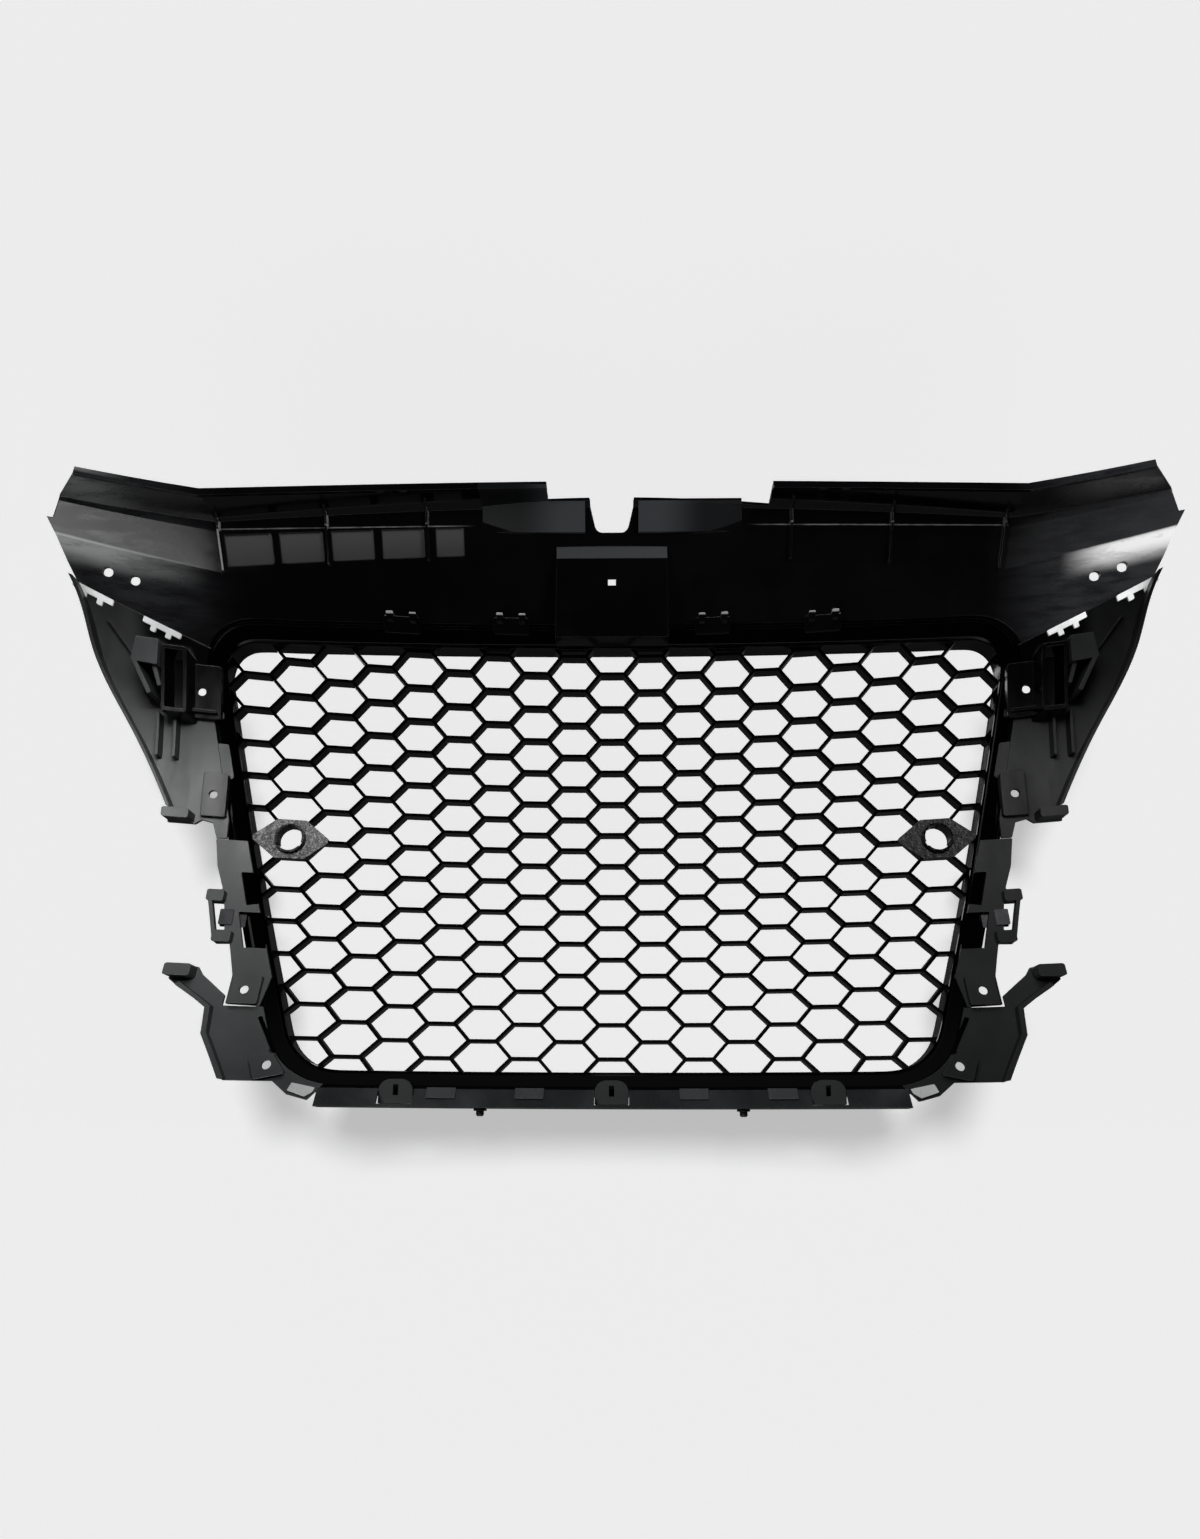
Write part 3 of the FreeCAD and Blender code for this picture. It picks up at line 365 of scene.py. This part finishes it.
def cast_zones(n, where, flow, tone, gloss):
    """Blotchy rough surface of the sensor holders, bright specks on a dark ground."""
    blotch = n.noise(where, *CAST)
    tone = n.mix(n.ramp(blotch, 0.50, 0.60), PIT_TONE, tone)
    tone = n.mix(n.ramp(blotch, 0.62, 0.68), tone, SPECK_TONE)
    return tone, n.between(n.ramp(blotch, 0.45, 0.6), *CAST_ROUGH)


BOX_BEVEL_Z = (level(250.6), level(251.4))
# lighter tone of the bevel is painted sheen
BOX_BEVEL_SHEEN_TONE = opaque(0.040, 0.043, 0.046)
BOX_BEVEL_ROUGH = 0.3


def box_zones(n, where, flow, tone, gloss):
    """Satin bevel along the top of the centre box, lightened by painted sheen."""
    x, y, z = n.axes(where)
    bevel = n.ramp(z, *BOX_BEVEL_Z)
    return n.mix(bevel, tone, BOX_BEVEL_SHEEN_TONE), n.between(bevel, gloss, BOX_BEVEL_ROUGH)


SPRING_CLIPS_X = (0.15, 0.20)
SPRING_CLIP_TONE = opaque(0.035, 0.037, 0.040)


def clip_zones(n, where, flow, tone, gloss):
    """Plated plates at the corners, dark spring clips between them."""
    x, y, z = n.axes(where)
    return n.mix(n.ramp(n.size(x), *SPRING_CLIPS_X), SPRING_CLIP_TONE, tone), gloss


RING_BOW = 0.44              # rearward run of the ring per square metre across
TAB_FRONT = (-0.0250, -0.0238)
TAB_TOP = (-0.2380, -0.2392)
TAB_SHEEN_TONE = opaque(0.32, 0.33, 0.335)
TAB_ROUGH = 0.38


def tab_zones(n, where, flow, tone, gloss):
    """Satin tabs behind the bottom of the ring, made pale by painted sheen."""
    x, y, z = n.axes(where)
    rearward = n.minus(y, n.times(n.squared(x), RING_BOW))
    tabs = n.times(n.ramp(rearward, *TAB_FRONT), n.ramp(z, *TAB_TOP))
    # Painted sheen: the pale tone of the tabs.
    return n.mix(tabs, tone, TAB_SHEEN_TONE), n.between(tabs, gloss, TAB_ROUGH)


# ---------------------------------------------------------------- finish of each piece
BLACK = plastic("panel_black", (0.0010, 0.0010, 0.0012), (0.0022, 0.0022, 0.0026), (0.07, 0.14), dust=0.03,
                specular=0.42, extra=panel_zones)
MESH = plastic("mesh_black", (0.0010, 0.0010, 0.0010), (0.0026, 0.0026, 0.0025), (0.14, 0.24), edge=0.0005,
               dust=0.04, specular=0.35)
RING = plastic("ring_black", (0.0008, 0.0008, 0.0010), (0.0018, 0.0018, 0.0021), (0.08, 0.16), dust=0.02,
               specular=0.35, wear_and_highlight_lift=0.14, extra=tab_zones)
BOX = plastic("box_black", (0.0008, 0.0008, 0.0010), (0.0018, 0.0018, 0.0021), (0.08, 0.16), dust=0.02,
              specular=0.35, extra=box_zones)
SATIN = plastic("bracket_satin", (0.026, 0.028, 0.029), (0.050, 0.053, 0.055), (0.32, 0.46), peel=0.08,
                grain=0.16, edge=0.0007, wear_and_highlight_lift=0.10, dust=0.12)
WING = plastic("wing_satin", (0.030, 0.032, 0.033), (0.056, 0.059, 0.061), (0.32, 0.46), peel=0.08,
               grain=0.16, edge=0.0007, wear_and_highlight_lift=0.10, dust=0.12, extra=wing_zones)
RAIL = plastic("rail_dark", (0.022, 0.024, 0.026), (0.078, 0.083, 0.087), (0.22, 0.38), edge=0.0007,
               wear_and_highlight_lift=0.10, dust=0.12)
SHADE = plastic("bracket_black", (0.0012, 0.0012, 0.0014), (0.0035, 0.0035, 0.0040), (0.16, 0.26),
                edge=0.0007, wear_and_highlight_lift=0.03, dust=0.08)
HOLDER = plastic("holder_rough", (0.010, 0.010, 0.011), (0.11, 0.11, 0.112), (0.35, 0.6), peel=0.8, grain=0.9,
                 grain_scale=700.0, wear_and_highlight_lift=0.14, dust=0.5, extra=cast_zones)
TRIM = plastic("trim_black", (0.0012, 0.0012, 0.0014), (0.003, 0.003, 0.0033), (0.14, 0.26), wear_and_highlight_lift=0.02,
               dust=0.05, extra=hook_zones)
PEG = plastic("peg_grey", (0.030, 0.031, 0.030), (0.060, 0.062, 0.060), (0.3, 0.5), wear_and_highlight_lift=0.10, dust=0.2)
BRIGHT = plastic("clip_pale", (0.55, 0.56, 0.56), (0.74, 0.75, 0.75), (0.22, 0.40), peel=0.1, grain=0.3,
                 edge=0.0003, wear_and_highlight_lift=0.2, dust=0.3)
PLATED = plastic("clip_plated", (0.42, 0.43, 0.43), (0.60, 0.61, 0.61), (0.2, 0.36), peel=0.1, grain=0.2,
                 edge=0.0003, wear_and_highlight_lift=0.15, dust=0.3, extra=clip_zones)
SPRING = metal("clip_spring", (0.020, 0.020, 0.022), (0.20, 0.34), 0.25)

# By the start of the piece's name; every other piece is satin.
FINISH = {
    "upper_panel": BLACK, "centre_box": BOX, "bezel_ring": RING, "carrier_ring": RING, "honeycomb_mesh": MESH,
    "sensor_holder": HOLDER, "edge_clips": SPRING, "seam_clips": BRIGHT, "rail_clips": PLATED,
    "bottom_rail": RAIL, "snap_hooks_top": TRIM, "locating_pegs": PEG, "lamp_bracket": SHADE,
    "side_wing": WING,
}
for name, node in nodes.items():
    found = [finish for start, finish in FINISH.items() if name.startswith(start)]
    node.data.materials.clear()
    node.data.materials.append(found[0] if found else SATIN)

# ---------------------------------------------------------------- floor and backdrop, seen from one side
PALE = 0.838                 # brightness of the whole stage where nothing shades it
MATT = 0.8                   # albedo of floor and backdrop
GLOW = 0.48                  # part of the backdrop's brightness that no piece can shade
SPILL = 0.027                # what the softboxes and the world add to the stage
SUN_DIP = math.radians(13.0)
SUN_ANGLE = math.radians(15)
SUN_SHARE = (PALE - SPILL - GLOW) / math.cos(SUN_DIP)
FLOOR_GAP = 0.0005
WALL_GAP = 0.015
FAR = 9.0
FLAG_X = 0.235               # the flag is a card that only shades the stage, under the ring
FLAG_Y = -0.05
FLAG_Z = (-0.2645, -0.215)
SHADE_MAKERS = ("bottom_rail", "lower_corner", "side_wing", "side_strip", "locating_pegs")


def new_collection(name, *starts):
    """Collection of the CAD pieces whose names begin in one of these ways."""
    made = bpy.data.collections.new(name)
    scene.collection.children.link(made)
    for piece, node in nodes.items():
        if starts and piece.startswith(starts):
            made.objects.link(node)
    return made


def one_sided(name, own_glow):
    """Pale sheet that is seen from its front only and is clear from behind."""
    material, n = new_material(name)
    behind = n.add("ShaderNodeNewGeometry").outputs["Backfacing"]
    matt = n.add("ShaderNodeBsdfDiffuse", None, Color=opaque(MATT, MATT, MATT))
    glow = n.add("ShaderNodeEmission", None, Color=opaque(1.0, 1.0, 1.0), Strength=own_glow)
    both = n.add("ShaderNodeAddShader", None, i0=matt.outputs[0], i1=glow.outputs[0])
    clear = n.add("ShaderNodeBsdfTransparent")
    n.surface(n.add("ShaderNodeMixShader", None, i0=behind, i1=both.outputs[0], i2=clear.outputs[0]))
    return material


def stage_sheet(name, corners, own_glow):
    """Flat sheet that the camera sees and the pieces don't."""
    mesh = bpy.data.meshes.new(name)
    mesh.from_pydata([Vector(corner) for corner in corners], [], [(0, 1, 2, 3)])
    mesh.materials.append(one_sided(name + "_sheet", own_glow))
    made = bpy.data.objects.new(name, mesh)
    stage_set.objects.link(made)
    made.visible_diffuse = False
    made.visible_glossy = False
    return made


stage_set = new_collection("stage")
floor_z = cad_low.z - FLOOR_GAP
wall_y = cad_low.y - WALL_GAP
stage_sheet("floor", [(-FAR, -FAR, floor_z), (FAR, -FAR, floor_z), (FAR, FAR, floor_z), (-FAR, FAR, floor_z)],
            PALE - SPILL - SUN_SHARE * math.sin(SUN_DIP))
stage_sheet("backdrop", [(FAR, wall_y, -FAR), (-FAR, wall_y, -FAR), (-FAR, wall_y, FAR), (FAR, wall_y, FAR)],
            GLOW)

# ---------------------------------------------------------------- surroundings that the pieces reflect
GLOW_BELOW = (-0.78, -0.93, 0.0, 0.85)
GLOW_ABOVE = (0.72, 0.95, 0.0, 0.08)
GLOW_AHEAD = (-0.45, -0.90, 0.0, 0.04)
GLOW_BASE = 0.012
world = bpy.data.worlds.new("studio")
scene.world = world
world.use_nodes = True
w = Nodes(world.node_tree)
aim_x, aim_y, aim_z = w.axes(w.add("ShaderNodeTexCoord").outputs["Generated"])
above_below = w.math("ADD", w.ramp(aim_z, *GLOW_BELOW), w.ramp(aim_z, *GLOW_ABOVE))
strength = w.math("ADD", above_below, w.math("ADD", w.ramp(aim_y, *GLOW_AHEAD), GLOW_BASE))
dim = w.add("ShaderNodeBackground", None, Color=opaque(0.97, 0.985, 1.0), Strength=strength)
pale = w.add("ShaderNodeBackground", None, Color=opaque(1.0, 1.0, 1.0), Strength=PALE)
seen = w.add("ShaderNodeLightPath").outputs["Is Camera Ray"]
w.surface(w.add("ShaderNodeMixShader", None, i0=seen, i1=dim.outputs[0], i2=pale.outputs[0]),
          "ShaderNodeOutputWorld")

# ---------------------------------------------------------------- lights
BRACKETS = ("side_wing", "side_strip", "lower_corner", "lamp_hook", "lamp_bracket", "sensor_holder")
piece_set = new_collection("pieces", "")         # every name begins in nothing, so this holds all pieces
left_set = new_collection("left_pieces", *[name + "_left" for name in BRACKETS])
right_set = new_collection("right_pieces", *[name + "_right" for name in BRACKETS])
low_set = new_collection("low_pieces", "bottom_rail", "rail_clips", "locating_pegs")
small_set = new_collection("small_pieces", "seam_clips", "edge_clips", "snap_hooks", "rail_clips")
panel_set = new_collection("panel_pieces", "upper_panel", "centre_box", "seam_clips")


def put_light(name, lamp, direction, receivers, blockers):
    """Light that shines along a direction on some pieces and is shaded by some."""
    made = bpy.data.objects.new(name, lamp)
    made.rotation_mode = "QUATERNION"
    made.rotation_quaternion = direction.to_track_quat("-Z", "Y")
    scene.collection.objects.link(made)
    made.light_linking.receiver_collection = receivers
    made.light_linking.blocker_collection = blockers
    return made


def softbox(name, at, to, width, height, radiance, receivers):
    """Rectangular light of a given radiance."""
    lamp = bpy.data.lights.new(name, "AREA")
    lamp.shape = "RECTANGLE"
    lamp.size = width
    lamp.size_y = height
    lamp.energy = radiance * math.pi * width * height
    put_light(name, lamp, Vector(to) - Vector(at), receivers, piece_set).location = at


# Name, place, aim, width, height, radiance, pieces that it lights; lengths in metres.
SOFTBOXES = (
    ("rear_left", (-0.30, 1.70, 1.40), (0.30, 0.0, -0.05), 1.4, 1.6, 1.3, left_set),
    ("rear_left_low", (-0.45, 1.90, 0.42), (0.35, 0.0, 0.0), 1.3, 0.6, 10.0, left_set),
    ("rear_right", (0.30, 1.70, 1.40), (-0.30, 0.0, -0.05), 1.4, 1.6, 0.3, right_set),
    ("rear_right_low", (0.45, 1.90, 0.42), (-0.35, 0.0, 0.0), 0.8, 0.6, 3.0, right_set),
    ("rear_low", (0.55, 1.70, 1.20), (0.0, 0.0, -0.25), 0.9, 1.2, 4.0, low_set),
    ("rear_small", (0.0, 1.70, 1.00), (0.0, 0.0, 0.10), 1.4, 1.4, 3.5, small_set),
    ("facet_left", (0.54, 0.58, -0.83), (0.42, 0.05, 0.21), 0.5, 0.5, 6.0, panel_set),
    ("end_left", (0.66, 0.85, 0.30), (0.45, 0.05, 0.19), 0.4, 0.4, 2.5, panel_set),
    ("end_right", (-0.66, 0.85, 0.30), (-0.45, 0.05, 0.19), 0.4, 0.4, 20.0, panel_set),
    ("overhead", (0.20, -0.20, 1.50), (0.0, 0.0, 0.10), 0.9, 0.7, 0.35, piece_set),
    ("side_left", (1.05, 1.10, 0.45), (0.35, 0.0, 0.0), 0.8, 0.9, 1.2, piece_set),
    ("front_key", (0.9, -1.9, 1.2), (0.0, 0.0, 0.0), 1.2, 1.0, 2.0, piece_set),
    ("front_fill", (-1.4, -1.6, 0.3), (0.0, 0.0, 0.0), 0.6, 1.4, 1.0, piece_set),
)
for settings in SOFTBOXES:
    softbox(*settings)

shade_makers = new_collection("shade_makers", *SHADE_MAKERS)
flag_low, flag_high = FLAG_Z
flag = stage_sheet("flag", [(-FLAG_X, FLAG_Y, flag_low), (FLAG_X, FLAG_Y, flag_low),
                            (FLAG_X, FLAG_Y, flag_high), (-FLAG_X, FLAG_Y, flag_high)], 0.0)
flag.visible_camera = False
shade_makers.objects.link(flag)
sun = bpy.data.lights.new("stage_sun", "SUN")
sun.energy = SUN_SHARE / MATT * math.pi
sun.angle = SUN_ANGLE
put_light("stage_sun", sun, Vector((0.0, -math.cos(SUN_DIP), -math.sin(SUN_DIP))), stage_set, shade_makers)

# ---------------------------------------------------------------- camera
SENSOR = 36.0
FOCAL_SHARE = 1150.0 / 1539.0        # focal length over the longer side of the picture
YAW = math.radians(-1.032)
ROLL = math.radians(-0.221)
PITCH = math.radians(18.98)
CAMERA_AT = place(-6.6, 999.1, -267.5)
lens = bpy.data.cameras.new("camera")
lens.sensor_width = SENSOR
lens.lens = SENSOR * FOCAL_SHARE
lens.clip_start = 0.01
lens.clip_end = 60.0
camera = bpy.data.objects.new("camera", lens)
scene.collection.objects.link(camera)
forward = Vector((-math.sin(YAW) * math.cos(PITCH), -math.cos(YAW) * math.cos(PITCH), math.sin(PITCH)))
level_up = Vector((math.sin(YAW) * math.sin(PITCH), math.cos(YAW) * math.sin(PITCH), math.cos(PITCH)))
level_right = Vector((-math.cos(YAW), math.sin(YAW), 0.0))
right = level_right * math.cos(ROLL) - level_up * math.sin(ROLL)
upward = level_right * math.sin(ROLL) + level_up * math.cos(ROLL)
turn = Matrix((right, upward, -forward)).transposed().to_4x4()
camera.matrix_world = Matrix.Translation(CAMERA_AT) @ turn
scene.camera = camera

scene.view_settings.view_transform = "Standard"
scene.view_settings.look = "None"
